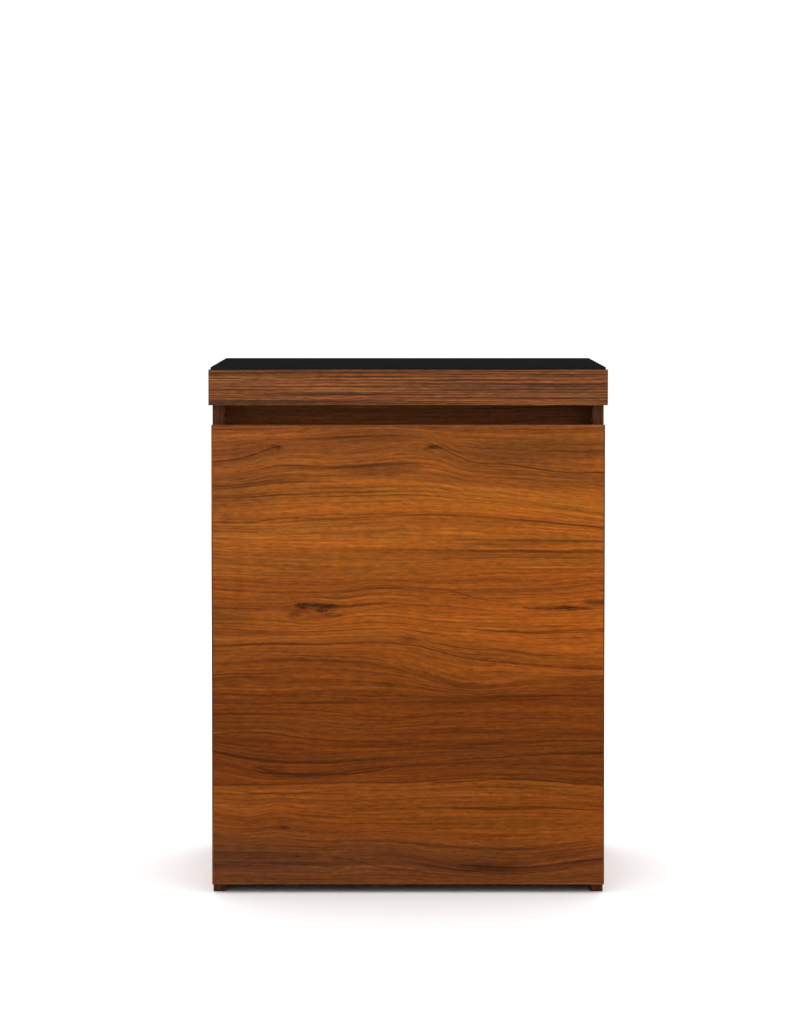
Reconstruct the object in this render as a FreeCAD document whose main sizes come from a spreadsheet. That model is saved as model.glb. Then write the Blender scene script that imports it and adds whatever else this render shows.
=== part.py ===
import FreeCAD, Part
import math
import os

# Aquarium stand cabinet: board carcass on two side panels, thickened top, one full door on
# two concealed hinges. Millimetres. Origin on the floor under the middle of the stand, +Z up,
# the front faces -Y. Names and places of pieces are read from left (-X) to right (+X).

os.makedirs("parts", exist_ok=True)
doc = FreeCAD.newDocument("aquarium_stand")

# ---------------------------------------------------------------- driving dimensions

SIZES = {
    "top_width": 606, "top_depth": 506, "stand_height": 800, "top_thickness": 54,
    "board": 18, "edging": 2, "arris": 1,
    "mat_width": 600, "mat_depth": 500, "mat_height": 4,
    "carcass_width": 596, "carcass_front": 229, "carcass_back": 253,
    "build_up_width": 80, "middle_strip_width": 100,
    "toe_height": 14, "rail_height": 110, "rail_recess": 60, "back_inset": 6,
    "door_width": 598, "door_height": 702, "door_gap": 2,
    "shelf_height": 520, "shelf_depth": 300, "shelf_play": 1,
    "shelf_pin_radius": 2.5, "shelf_pin_depth": 10, "shelf_pin_reach": 8, "pin_pitch": 32,
    "pin_plate_width": 10, "pin_plate_height": 2.5,
    "cam_radius": 7.5, "cam_depth": 12.5, "cam_setback": 24,
    "cam_slot_length": 5, "cam_slot_width": 1.2, "cam_slot_depth": 2,
    "floor_cam_front": 180, "floor_cam_back": 190, "back_cam_low": 180, "back_cam_high": 560,
    "top_cam_offset": 200, "top_dowel_offset": 60,
    "bolt_radius": 3, "bolt_bite": 10, "cap_radius": 8.5, "cap_height": 1,
    "dowel_radius": 4, "dowel_length": 30, "dowel_offset": 32, "hole_play": 0.1,
    "hose_offset": 165, "hose_height": 650, "hose_width": 130, "hose_depth": 70,
    "grommet_bore": 27, "grommet_wall": 3, "grommet_flange": 35, "flange_height": 2,
    "hinge_high": 596, "hinge_low": 134,
    "cup_offset": 22.5, "cup_radius": 17.5, "cup_depth": 12.6, "cup_wall": 1,
    "cup_flange_width": 22, "cup_flange_length": 62, "cup_flange_height": 1.2, "cup_flange_shift": 6,
    "cup_screw_spacing": 45, "cup_screw_shift": 9.5,
    "plate_setback": 37, "plate_screw_spacing": 32, "plate_front": 21, "plate_length": 48,
    "plate_width": 11.4, "plate_height": 9, "wing_width": 14, "wing_length": 50, "wing_height": 2.5,
    "plate_screw_radius": 2.5, "plate_screw_depth": 11, "screw_head_radius": 4.2, "screw_head_height": 1.6,
    "arm_width": 14.8, "arm_wall": 1.5, "arm_back": 79, "arm_bend": 46, "arm_foot": 3, "arm_play": 0.1,
    "nose_wall": 2,
    "adjusting_screw_radius": 2, "adjusting_head_radius": 3.4,
    "link_pin_radius": 1.5, "link_play": 0.06, "link_width": 3, "eye_radius": 2.7,
    "link_height": 5, "link_gap": 0.8,
    "bumper_radius": 4, "bumper_height": 1.8, "bumper_inset": 10,
}

sheet = doc.addObject("Spreadsheet::Sheet", "dim")
for row, (name, value) in enumerate(SIZES.items(), start=1):
    sheet.set(f"A{row}", name)
    sheet.set(f"B{row}", str(value))
    sheet.setAlias(f"B{row}", name)
doc.recompute()

# Places that several pieces share, as expressions on the sheet.
SIDE_OUT = "dim.carcass_width / 2"
SIDE_IN = "(dim.carcass_width / 2 - dim.board)"
FRONT = "(-dim.carcass_front)"
BOARD_FRONT = "(-dim.carcass_front + dim.edging)"
UNDER_TOP = "(dim.stand_height - dim.top_thickness)"
BOARD_LENGTH = "(dim.carcass_width - 2 * dim.board)"
FLOOR_PANEL_TOP = "(dim.toe_height + dim.board)"
BACK_FACE = "(dim.carcass_back - dim.back_inset)"
BACK_INNER = "(dim.carcass_back - dim.back_inset - dim.board)"
RAIL_FRONT = "(-dim.carcass_front + dim.rail_recess)"
TOP_INNER_X = "(dim.top_width / 2 - dim.edging)"
TOP_INNER_Y = "(dim.top_depth / 2 - dim.edging)"
DOOR_BACK = "(-dim.carcass_front - dim.door_gap)"
DOOR_FRONT = "(-dim.carcass_front - dim.door_gap - dim.board)"
DOOR_TOP = "(dim.toe_height + dim.door_height)"

DIRECTIONS = {
    "+X": FreeCAD.Rotation(FreeCAD.Vector(0, 1, 0), 90),
    "-X": FreeCAD.Rotation(FreeCAD.Vector(0, 1, 0), -90),
    "+Y": FreeCAD.Rotation(FreeCAD.Vector(1, 0, 0), -90),
    "-Y": FreeCAD.Rotation(FreeCAD.Vector(1, 0, 0), 90),
    "+Z": FreeCAD.Rotation(),
    "-Z": FreeCAD.Rotation(FreeCAD.Vector(1, 0, 0), 180),
}

nodes = {}
holes = {}


def size(name):
    """The value of one cell of the sheet."""
    return float(sheet.get(name))


def place(item, point, direction="+Z"):
    """Bind an object's place to three expressions and turn its own Z along a direction."""
    item.Placement = FreeCAD.Placement(FreeCAD.Vector(), DIRECTIONS[direction])
    for axis, expression in zip("xyz", point):
        item.setExpression("Placement.Base." + axis, expression)
    return item


def block(low, sizes):
    """A box from its low corner and its three sizes."""
    item = doc.addObject("Part::Box", "Block")
    for name, expression in zip(("Length", "Width", "Height"), sizes):
        item.setExpression(name, expression)
    return place(item, low)


def rod(radius, length, start, direction):
    """A cylinder that starts at a point and runs in a direction."""
    item = doc.addObject("Part::Cylinder", "Rod")
    item.setExpression("Radius", radius)
    item.setExpression("Height", length)
    return place(item, start, direction)


def group(items):
    """Several objects as one, without joining their solids."""
    if len(items) == 1:
        return items[0]
    item = doc.addObject("Part::Compound", "Group")
    item.Links = items
    return item


def fuse(items):
    item = doc.addObject("Part::MultiFuse", "Fuse")
    item.Shapes = items
    return item


def cut(base, tools):
    item = doc.addObject("Part::Cut", "Cut")
    item.Base = base
    item.Tool = group(tools)
    return item


def drill(boards, radius, length, start, direction):
    """A hole that each of the named boards gets when it is finished."""
    tool = rod(f"{radius} + dim.hole_play", length, start, direction)
    for board in boards:
        holes.setdefault(board, []).append(tool)


def node(label, item):
    """Register a finished piece under the name of its file."""
    if label in holes:
        item = cut(item, holes[label])
    item.Label = label
    nodes[label] = item
    return item


def flat_on(edge, axis, value):
    """Whether every corner of an edge lies at one value along an axis."""
    return all(abs(getattr(corner.Point, axis) - value) < 0.01 for corner in edge.Vertexes)


def strip(label, low, sizes, axis, sign, long_edges_only):
    """Plastic edging: a thin box whose outer face, on one side along an axis, has soft edges."""
    body = block(low, sizes)
    doc.recompute()
    bounds = body.Shape.BoundBox
    outer = getattr(bounds, axis.upper() + ("Max" if sign > 0 else "Min"))
    least = 3 * size("board") if long_edges_only else 0
    picked = [number for number, edge in enumerate(body.Shape.Edges, start=1)
              if flat_on(edge, axis, outer) and edge.Length > least]
    soft = doc.addObject("Part::Fillet", "Arris")
    soft.Base = body
    soft.Edges = [(number, size("arris"), size("arris")) for number in picked]
    return node(label, soft)


# ---------------------------------------------------------------- fasteners of the carcass

cams = []
bolts = []
dowels = []
caps = []


def toward(direction):
    """The sign of a direction such as -X, as text for an expression."""
    return "-1" if direction[0] == "-" else "1"


def moved(point, axis, expression):
    """A point with an expression added to one of its coordinates."""
    index = "xyz".index(axis)
    return [f"{value} + ({expression})" if number == index else value
            for number, value in enumerate(point)]


def cam_joint(cam_board, bolt_board, face, cam_way, bolt_way, capped=False):
    """A cam lock let into one board and its bolt into the next board.

    face is the cam's centre on the board's face; cam_way points into that face; bolt_way points
    along the board to its end. The bolt runs in the middle of the board's thickness.
    """
    cam_axis = cam_way[1].lower()
    bolt_axis = bolt_way[1].lower()
    slot_low = list(face)
    slot_sizes = []
    for axis in "xyz":
        run = "dim.cam_slot_length"
        if axis == cam_axis:
            run = "2 * dim.cam_slot_depth"
        elif axis == bolt_axis:
            run = "dim.cam_slot_width"
        slot_sizes.append(run)
        slot_low = moved(slot_low, axis, f"-({run}) / 2")
    slot = block(slot_low, slot_sizes)
    cams.append(cut(rod("dim.cam_radius", "dim.cam_depth", face, cam_way), [slot]))
    middle = moved(face, cam_axis, f"{toward(cam_way)} * dim.board / 2")
    start = moved(middle, bolt_axis, f"{toward(bolt_way)} * dim.cam_radius")
    reach = "dim.cam_setback - dim.cam_radius + dim.bolt_bite"
    bolts.append(rod("dim.bolt_radius", reach, start, bolt_way))
    drill([cam_board], "dim.cam_radius", "dim.cam_depth", face, cam_way)
    drill([cam_board, bolt_board], "dim.bolt_radius", reach, start, bolt_way)
    if capped:
        outward = ("+" if cam_way[0] == "-" else "-") + cam_way[1]
        caps.append(rod("dim.cap_radius", "dim.cap_height", face, outward))


def dowel(boards, middle, way):
    """A wooden dowel whose middle lies where two boards meet."""
    start = moved(middle, way[1].lower(), f"-({toward(way)}) * dim.dowel_length / 2")
    dowels.append(rod("dim.dowel_radius", "dim.dowel_length", start, way))
    drill(boards, "dim.dowel_radius", "dim.dowel_length", start, way)


for side, sign, way in (("left", "-1", "-X"), ("right", "1", "+X")):
    panel = side + "_side_panel"
    cam_x = f"{sign} * ({SIDE_IN} - dim.cam_setback)"
    meet_x = f"{sign} * ({SIDE_IN} - dim.dowel_length / 6)"
    # bottom panel: cams from below, out of sight
    for y in ("(-dim.floor_cam_front)", "dim.floor_cam_back"):
        cam_joint("bottom_panel", panel, [cam_x, y, "dim.toe_height"], "+Z", way)
        dowel(["bottom_panel", panel],
              [meet_x, f"{y} + dim.dowel_offset", "dim.toe_height + dim.board / 2"], way)
    # front rail: one cam in its rear face, dowels above and below
    rail_middle = f"({UNDER_TOP} - dim.rail_height / 2)"
    cam_joint("front_rail", panel, [cam_x, f"{RAIL_FRONT} + dim.board", rail_middle], "-Y", way, True)
    for shift in ("dim.dowel_offset", "-dim.dowel_offset"):
        dowel(["front_rail", panel],
              [meet_x, f"{RAIL_FRONT} + dim.board / 2", f"{rail_middle} + {shift}"], way)
    # back panel: two cams in its inner face
    for z in ("dim.back_cam_low", "dim.back_cam_high"):
        cam_joint("back_panel", panel, [cam_x, BACK_INNER, z], "+Y", way, True)
        dowel(["back_panel", panel],
              [meet_x, f"{BACK_INNER} + dim.board / 2", f"{z} - dim.dowel_offset"], way)
    # top: cams in the side panel's inner face, bolts up into the build-up strips
    for end, end_sign in (("front", "-1"), ("back", "1")):
        cam_joint(panel, "top_build_up_" + end,
                  [f"{sign} * {SIDE_IN}", f"{end_sign} * dim.top_cam_offset",
                   f"{UNDER_TOP} - dim.cam_setback"], way, "+Z", True)
        dowel([panel, "top_build_up_" + side],
              [f"{sign} * ({SIDE_IN} + dim.board / 2)", f"{end_sign} * dim.top_dowel_offset",
               UNDER_TOP], "+Z")

# Rows of holes for the shelf pins, and the four pins in use at level 0.
shelf_pins = []
PIN_LEVELS = range(-3, 3)
PIN_UNDER_SHELF = "(dim.shelf_pin_radius + dim.pin_plate_height / 2)"
SHELF_FRONT = f"({BACK_INNER} - dim.shelf_play - dim.shelf_depth)"
for side, sign, way, back_way in (("left", "-1", "-X", "+X"), ("right", "1", "+X", "-X")):
    for y in (f"{SHELF_FRONT} + dim.pin_pitch", f"{BACK_INNER} - dim.pin_pitch"):
        for level in PIN_LEVELS:
            height = f"dim.shelf_height - {PIN_UNDER_SHELF} + {level} * dim.pin_pitch"
            start = [f"{sign} * {SIDE_IN}", y, height]
            drill([side + "_side_panel"], "dim.shelf_pin_radius", "dim.shelf_pin_depth", start, way)
            if level == 0:
                inner = [f"{sign} * ({SIDE_IN} + dim.shelf_pin_depth)", y, height]
                peg = rod("dim.shelf_pin_radius", "dim.shelf_pin_depth + dim.shelf_pin_reach",
                          inner, back_way)
                low_x = f"{sign} * ({SIDE_IN} - dim.shelf_pin_reach / 2) - dim.shelf_pin_reach / 2"
                plate = block([low_x, f"{y} - dim.pin_plate_width / 2",
                               "dim.shelf_height - dim.pin_plate_height"],
                              ["dim.shelf_pin_reach", "dim.pin_plate_width", "dim.pin_plate_height"])
                shelf_pins.append(fuse([peg, plate]))

# ---------------------------------------------------------------- concealed hinges

# The hinge is drawn in its own plan: across is measured from the left side panel's inner face
# into the cabinet, ahead is measured forward from the carcass front. The outer link lies in the
# lower half of the arm and the inner link in the upper half, each on pins of its own. While the
# door turns, each link turns at a fixed rate; the inner link's eye in the cup has the play that
# takes up what is left over.
OUTER_ARM_PIN = (24.0, -16.4)
OUTER_CUP_PIN = (-8.4, 4.5)
OUTER_KNEE = (15.5, 4.4)
INNER_ARM_PIN = (15.9, 2.7)
INNER_CUP_PIN = (-5.9, 7.3)
INNER_KNEE = (3.8, 8.5)
OPEN_EYE_PLAY = 1.5
ARM_SCREWS = (-52, -64)


def plan_point(point, height):
    """A point of the hinge plan at a height, in the cabinet's frame."""
    across, ahead = point
    x = -(size("carcass_width") / 2 - size("board")) + across
    y = -size("carcass_front") - ahead
    return FreeCAD.Vector(x, y, height)


def plan_prism(points, low, high):
    """A prism over a polygon of the hinge plan."""
    corners = [plan_point(point, low) for point in points]
    face = Part.Face(Part.makePolygon(corners + [corners[0]]))
    return face.extrude(FreeCAD.Vector(0, 0, high - low))


def plan_pin(point, radius, low, high):
    """An upright cylinder at a point of the hinge plan."""
    return Part.makeCylinder(radius, high - low, plan_point(point, low))


def hooked_link(arm_pin, knee, cup_pin, low, cup_play):
    """A flat link bent at its knee, with an eye for each pin."""
    high = low + size("link_height")
    half = size("link_width") / 2
    eye = size("eye_radius")
    link = plan_pin(knee, half, low, high)
    for point, radius in ((arm_pin, eye), (cup_pin, eye + cup_play)):
        run = plan_point(knee, low) - plan_point(point, low)
        bar = Part.makeBox(run.Length, 2 * half, high - low, FreeCAD.Vector(0, -half, 0))
        turn = FreeCAD.Rotation(FreeCAD.Vector(1, 0, 0), run)
        bar.Placement = FreeCAD.Placement(plan_point(point, low), turn)
        link = link.fuse([bar, plan_pin(point, radius, low, high)])
    bore = size("link_pin_radius") + size("link_play")
    link = link.cut(plan_pin(arm_pin, bore, low, high))
    return link.cut(plan_pin(cup_pin, bore + cup_play, low, high)).removeSplitter()


def feature(label, shapes):
    """A piece whose shape is worked out here from the sheet's sizes."""
    item = doc.addObject("Part::Feature", label)
    item.Shape = shapes[0] if len(shapes) == 1 else Part.makeCompound(shapes)
    return node(label, item)


def hinge_plate(label, level):
    """The mounting plate: a ridge for the arm and two wings with a screw each."""
    ridge = block([PLATE_FACE, f"{FRONT} + dim.plate_front", f"{level} - dim.plate_width / 2"],
                  ["dim.plate_height", "dim.plate_length", "dim.plate_width"])
    wings = block([PLATE_FACE, f"{PLATE_Y} - dim.wing_width / 2", f"{level} - dim.wing_length / 2"],
                  ["dim.wing_height", "dim.wing_width", "dim.wing_length"])
    bores = []
    for shift in ("dim.plate_screw_spacing / 2", "-dim.plate_screw_spacing / 2"):
        at = [PLATE_FACE, PLATE_Y, f"{level} + {shift}"]
        shank = rod("dim.plate_screw_radius", "dim.plate_screw_depth + dim.wing_height",
                    moved(at, "x", "-dim.plate_screw_depth"), "+X")
        head = rod("dim.screw_head_radius", "dim.screw_head_height",
                   moved(at, "x", "dim.wing_height"), "+X")
        plate_screws.append(fuse([shank, head]))
        bores.append(rod("dim.plate_screw_radius + dim.hole_play", "dim.wing_height", at, "+X"))
        drill(["left_side_panel"], "dim.plate_screw_radius", "dim.plate_screw_depth", at, "-X")
    for ahead in ARM_SCREWS:
        bores.append(rod("dim.adjusting_screw_radius + dim.hole_play",
                         "dim.plate_height - dim.wing_height",
                         [f"{PLATE_FACE} + dim.wing_height", f"{FRONT} - ({ahead})", level], "+X"))
    return node(label, cut(fuse([ridge, wings]), bores))


def hinge_arm(label, height):
    """The arm: a bent channel over the plate that carries the links' two fixed pins."""
    wall = size("arm_wall")
    half = size("arm_width") / 2
    back = -size("arm_back")
    bend = -size("arm_bend")
    low_roof = size("plate_height") + size("arm_play") + wall
    high_roof = OUTER_ARM_PIN[0] + size("eye_radius") + size("arm_play") + wall
    rise_end = OUTER_ARM_PIN[1] - 2 * size("eye_radius")
    web_end = OUTER_ARM_PIN[1] + 2 * size("eye_radius")
    tip, reach = INNER_ARM_PIN
    nose = reach + size("nose_wall")
    outline = [(size("arm_foot"), back), (low_roof, back), (low_roof, bend), (high_roof, rise_end),
               (high_roof, web_end), (tip + size("nose_wall"), reach - size("nose_wall")),
               (tip + size("nose_wall"), nose), (tip - size("nose_wall"), nose),
               (size("arm_foot"), web_end)]
    arm = plan_prism(outline, height - half, height + half)
    hollow = [(0, back), (low_roof - wall, back), (low_roof - wall, bend + wall / 2),
              (high_roof - wall, rise_end + wall / 2), (high_roof - wall, web_end),
              (high_roof, web_end), (high_roof, nose), (0, nose)]
    arm = arm.cut(plan_prism(hollow, height - half + wall, height + half - wall))
    radius = size("link_pin_radius")
    pins = [plan_pin(OUTER_ARM_PIN, radius, height - half, height + half),
            plan_pin(INNER_ARM_PIN, radius, height + size("link_gap") / 2, height + half)]
    for ahead in ARM_SCREWS:
        start = plan_point((size("wing_height"), ahead), height)
        across = FreeCAD.Vector(1, 0, 0)
        shank_length = low_roof - size("wing_height")
        shank = Part.makeCylinder(size("adjusting_screw_radius"), shank_length, start, across)
        head = Part.makeCylinder(size("adjusting_head_radius"), size("screw_head_height"),
                                 start + across * shank_length, across)
        bore_radius = size("adjusting_screw_radius") + size("hole_play")
        arm = arm.cut(Part.makeCylinder(bore_radius, shank_length, start, across))
        adjusting_screws.append(shank.fuse(head).removeSplitter())
    arm_pins.extend(pins)
    return feature(label, [arm.cut(pins)])


def hinge_cup(label, height):
    """The cup, let flush into the door's back, with its flange and the links' two cup pins."""
    inward = FreeCAD.Vector(0, -1, 0)
    gap = size("door_gap")
    centre = plan_point((CUP_ACROSS, gap), height)
    radius = size("cup_radius")
    cup = Part.makeCylinder(radius, size("cup_depth"), centre, inward)
    length = size("cup_flange_length")
    width = size("cup_flange_width")
    corner = plan_point((CUP_ACROSS + size("cup_flange_shift") - width / 2, gap + size("cup_flange_height")),
                        height - length / 2)
    flange = Part.makeBox(width, size("cup_flange_height"), length, corner)
    corners = [edge for edge in flange.Edges if abs(edge.tangentAt(edge.FirstParameter).y) > 0.5]
    flange = flange.makeFillet(width / 4, corners)
    cup = cup.fuse(flange)
    inner_radius = radius - size("cup_wall")
    cup = cup.cut(Part.makeCylinder(inner_radius, size("cup_depth") - size("cup_wall"), centre, inward))
    pins = []
    for point, sign in ((OUTER_CUP_PIN, -1), (INNER_CUP_PIN, 1)):
        reach = math.sqrt(inner_radius ** 2 - (point[0] - CUP_ACROSS) ** 2)
        ends = sorted((height + sign * size("link_gap") / 2, height + sign * reach))
        pins.append(plan_pin(point, size("link_pin_radius"), ends[0], ends[1]))
    cup_pins.extend(pins)
    for sign in (-1, 1):
        level = height + sign * size("cup_screw_spacing") / 2
        start = plan_point((CUP_ACROSS + size("cup_screw_shift"), gap), level)
        head = Part.makeCone(size("screw_head_radius"), size("adjusting_screw_radius"),
                             size("screw_head_height"), start, inward)
        shank = Part.makeCylinder(size("adjusting_screw_radius"), size("plate_screw_depth"), start, inward)
        screw = head.fuse(shank).removeSplitter()
        cup = cup.cut(screw)
        cup_screws.append(screw)
    door_sinks.append(flange)
    return feature(label, [cup.cut(pins)])


arm_pins = []
cup_pins = []
plate_screws = []
adjusting_screws = []
cup_screws = []
door_sinks = []
PLATE_FACE = f"(-1 * {SIDE_IN})"
PLATE_Y = "(-dim.carcass_front + dim.plate_setback)"
CUP_X = "(-dim.door_width / 2 + dim.cup_offset)"
CUP_ACROSS = size("carcass_width") / 2 - size("board") - size("door_width") / 2 + size("cup_offset")

for level_name, cell in (("upper", "hinge_high"), ("lower", "hinge_low")):
    height = size(cell)
    lower_layer = height - size("link_gap") / 2 - size("link_height")
    upper_layer = height + size("link_gap") / 2
    hinge_plate("hinge_plate_" + level_name, "dim." + cell)
    hinge_arm("hinge_arm_" + level_name, height)
    hinge_cup("hinge_cup_" + level_name, height)
    outer_link = hooked_link(OUTER_ARM_PIN, OUTER_KNEE, OUTER_CUP_PIN, lower_layer, 0)
    feature("hinge_outer_link_" + level_name, [outer_link])
    inner_link = hooked_link(INNER_ARM_PIN, INNER_KNEE, INNER_CUP_PIN, upper_layer, OPEN_EYE_PLAY)
    feature("hinge_inner_link_" + level_name, [inner_link])
    drill(["door_panel"], "dim.cup_radius", "dim.cup_depth + dim.hole_play",
          [CUP_X, DOOR_BACK, "dim." + cell], "-Y")

# ---------------------------------------------------------------- carcass boards

for side, sign, low_x in (("left", -1, f"-{SIDE_OUT}"), ("right", 1, SIDE_IN)):
    board = block([low_x, BOARD_FRONT, "0"],
                  ["dim.board", f"dim.carcass_back - {BOARD_FRONT}", UNDER_TOP])
    node(side + "_side_panel", board)
    strip(side + "_side_edging", [low_x, FRONT, "0"],
          ["dim.board", "dim.edging", UNDER_TOP], "y", -1, True)

floor_board = block([f"-{SIDE_IN}", BOARD_FRONT, "dim.toe_height"],
                    [BOARD_LENGTH, f"dim.carcass_back - {BOARD_FRONT}", "dim.board"])
node("bottom_panel", floor_board)
strip("bottom_panel_edging", [f"-{SIDE_IN}", FRONT, "dim.toe_height"],
      [BOARD_LENGTH, "dim.edging", "dim.board"], "y", -1, True)

rail_low = f"({UNDER_TOP} - dim.rail_height)"
rail = block([f"-{SIDE_IN}", RAIL_FRONT, f"{rail_low} + dim.edging"],
             [BOARD_LENGTH, "dim.board", "dim.rail_height - dim.edging"])
node("front_rail", rail)
strip("front_rail_edging", [f"-{SIDE_IN}", RAIL_FRONT, rail_low],
      [BOARD_LENGTH, "dim.board", "dim.edging"], "z", -1, True)

# Back panel: two rounded hose openings and the bore of the cable grommet.
back_board = block([f"-{SIDE_IN}", BACK_INNER, FLOOR_PANEL_TOP],
                   [BOARD_LENGTH, "dim.board", f"{UNDER_TOP} - {FLOOR_PANEL_TOP}"])
back_cuts = [rod("dim.grommet_bore + dim.grommet_wall", "dim.board",
                 ["0", BACK_INNER, "dim.hose_height"], "+Y")]
for sign in ("-1", "1"):
    middle = f"{sign} * dim.hose_offset"
    straight = "(dim.hose_width - dim.hose_depth)"
    back_cuts.append(block([f"{middle} - {straight} / 2", BACK_INNER, "dim.hose_height - dim.hose_depth / 2"],
                           [straight, "dim.board", "dim.hose_depth"]))
    for end in ("-1", "1"):
        back_cuts.append(rod("dim.hose_depth / 2", "dim.board",
                             [f"{middle} + {end} * {straight} / 2", BACK_INNER, "dim.hose_height"], "+Y"))
node("back_panel", cut(back_board, back_cuts))

# The grommet: a sleeve through the back panel with a flange inside and outside.
sleeve = rod("dim.grommet_bore + dim.grommet_wall", "dim.board",
             ["0", BACK_INNER, "dim.hose_height"], "+Y")
flange_in = rod("dim.grommet_flange", "dim.flange_height",
                ["0", f"{BACK_INNER} - dim.flange_height", "dim.hose_height"], "+Y")
flange_out = rod("dim.grommet_flange", "dim.flange_height", ["0", BACK_FACE, "dim.hose_height"], "+Y")
grommet_hole = rod("dim.grommet_bore", "dim.board + 2 * dim.flange_height",
                   ["0", f"{BACK_INNER} - dim.flange_height", "dim.hose_height"], "+Y")
node("cable_grommet", cut(fuse([sleeve, flange_in, flange_out]), [grommet_hole]))

# Shelf on its four pins.
shelf_low_x = f"(-1 * {SIDE_IN} + dim.shelf_play)"
shelf_length = f"({BOARD_LENGTH} - 2 * dim.shelf_play)"
shelf = block([shelf_low_x, f"{SHELF_FRONT} + dim.edging", "dim.shelf_height"],
              [shelf_length, "dim.shelf_depth - dim.edging", "dim.board"])
node("shelf", shelf)
strip("shelf_edging", [shelf_low_x, SHELF_FRONT, "dim.shelf_height"],
      [shelf_length, "dim.edging", "dim.board"], "y", -1, True)
node("shelf_pins", group(shelf_pins))

# ---------------------------------------------------------------- thickened top

top_low = f"(dim.stand_height - dim.board)"
strip_height = "(dim.top_thickness - dim.board)"
side_run = f"(2 * {TOP_INNER_Y} - 2 * dim.build_up_width)"
node("top_board", block([f"-{TOP_INNER_X}", f"-{TOP_INNER_Y}", top_low],
                        [f"2 * {TOP_INNER_X}", f"2 * {TOP_INNER_Y}", "dim.board"]))
for label, low_y in (("top_build_up_front", f"-{TOP_INNER_Y}"),
                     ("top_build_up_back", f"{TOP_INNER_Y} - dim.build_up_width")):
    node(label, block([f"-{TOP_INNER_X}", low_y, UNDER_TOP],
                      [f"2 * {TOP_INNER_X}", "dim.build_up_width", strip_height]))
for label, low_x, width in (("top_build_up_left", f"-{TOP_INNER_X}", "dim.build_up_width"),
                            ("top_build_up_middle", "-dim.middle_strip_width / 2", "dim.middle_strip_width"),
                            ("top_build_up_right", f"{TOP_INNER_X} - dim.build_up_width",
                             "dim.build_up_width")):
    node(label, block([low_x, f"-{TOP_INNER_Y} + dim.build_up_width", UNDER_TOP],
                      [width, side_run, strip_height]))

for label, low_y, sign in (("top_edging_front", "-dim.top_depth / 2", -1),
                           ("top_edging_back", TOP_INNER_Y, 1)):
    strip(label, ["-dim.top_width / 2", low_y, UNDER_TOP],
          ["dim.top_width", "dim.edging", "dim.top_thickness"], "y", sign, False)
for label, low_x, sign in (("top_edging_left", "-dim.top_width / 2", -1),
                           ("top_edging_right", TOP_INNER_X, 1)):
    strip(label, [low_x, f"-{TOP_INNER_Y}", UNDER_TOP],
          ["dim.edging", f"2 * {TOP_INNER_Y}", "dim.top_thickness"], "x", sign, True)

node("levelling_mat", block(["-dim.mat_width / 2", "-dim.mat_depth / 2", "dim.stand_height"],
                            ["dim.mat_width", "dim.mat_depth", "dim.mat_height"]))

# ---------------------------------------------------------------- fasteners, gathered

node("cam_locks", group(cams))
node("cam_bolts", group(bolts))
node("dowels", group(dowels))
node("cam_cover_caps", group(caps))
node("hinge_plate_screws", group(plate_screws))
feature("hinge_adjusting_screws", adjusting_screws)
feature("hinge_arm_pins", arm_pins)

# ---------------------------------------------------------------- door

DOOR_LEFT = "(-dim.door_width / 2)"
door_board = block([f"{DOOR_LEFT} + dim.edging", DOOR_FRONT, "dim.toe_height + dim.edging"],
                   ["dim.door_width - 2 * dim.edging", "dim.board", "dim.door_height - 2 * dim.edging"])
sinks = doc.addObject("Part::Feature", "FlangeSinks")
sinks.Shape = Part.makeCompound(door_sinks)
screw_cuts = doc.addObject("Part::Feature", "ScrewCuts")
screw_cuts.Shape = Part.makeCompound(cup_screws)
node("door_panel", cut(door_board, [sinks, screw_cuts]))
for label, low_x, sign in (("door_edging_left", DOOR_LEFT, -1),
                           ("door_edging_right", "dim.door_width / 2 - dim.edging", 1)):
    strip(label, [low_x, DOOR_FRONT, "dim.toe_height"],
          ["dim.edging", "dim.board", "dim.door_height"], "x", sign, False)
for label, low_z, sign in (("door_edging_bottom", "dim.toe_height", -1),
                           ("door_edging_top", f"{DOOR_TOP} - dim.edging", 1)):
    strip(label, [f"{DOOR_LEFT} + dim.edging", DOOR_FRONT, low_z],
          ["dim.door_width - 2 * dim.edging", "dim.board", "dim.edging"], "z", sign, True)

bumpers = []
for height in (f"{DOOR_TOP} - 2 * dim.bumper_inset", "dim.toe_height + 2 * dim.bumper_inset"):
    bumpers.append(rod("dim.bumper_radius", "dim.bumper_height",
                       ["dim.carcass_width / 2 - dim.board / 2", DOOR_BACK, height], "+Y"))
node("door_bumpers", group(bumpers))
feature("hinge_cup_screws", cup_screws)
feature("hinge_cup_pins", cup_pins)

# ---------------------------------------------------------------- checks and files

doc.recompute()
failed = [item.Name for item in doc.Objects if {"Invalid", "Error"} & set(item.State)]
bad = [label for label, item in nodes.items() if item.Shape.isNull() or not item.Shape.isValid()]
if failed or bad:
    raise RuntimeError(f"failed objects {failed}, bad shapes {bad}")
for label, item in nodes.items():
    item.Shape.exportStep(f"parts/{label}.step")
print(len(nodes), "pieces written")
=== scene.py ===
import math

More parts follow.
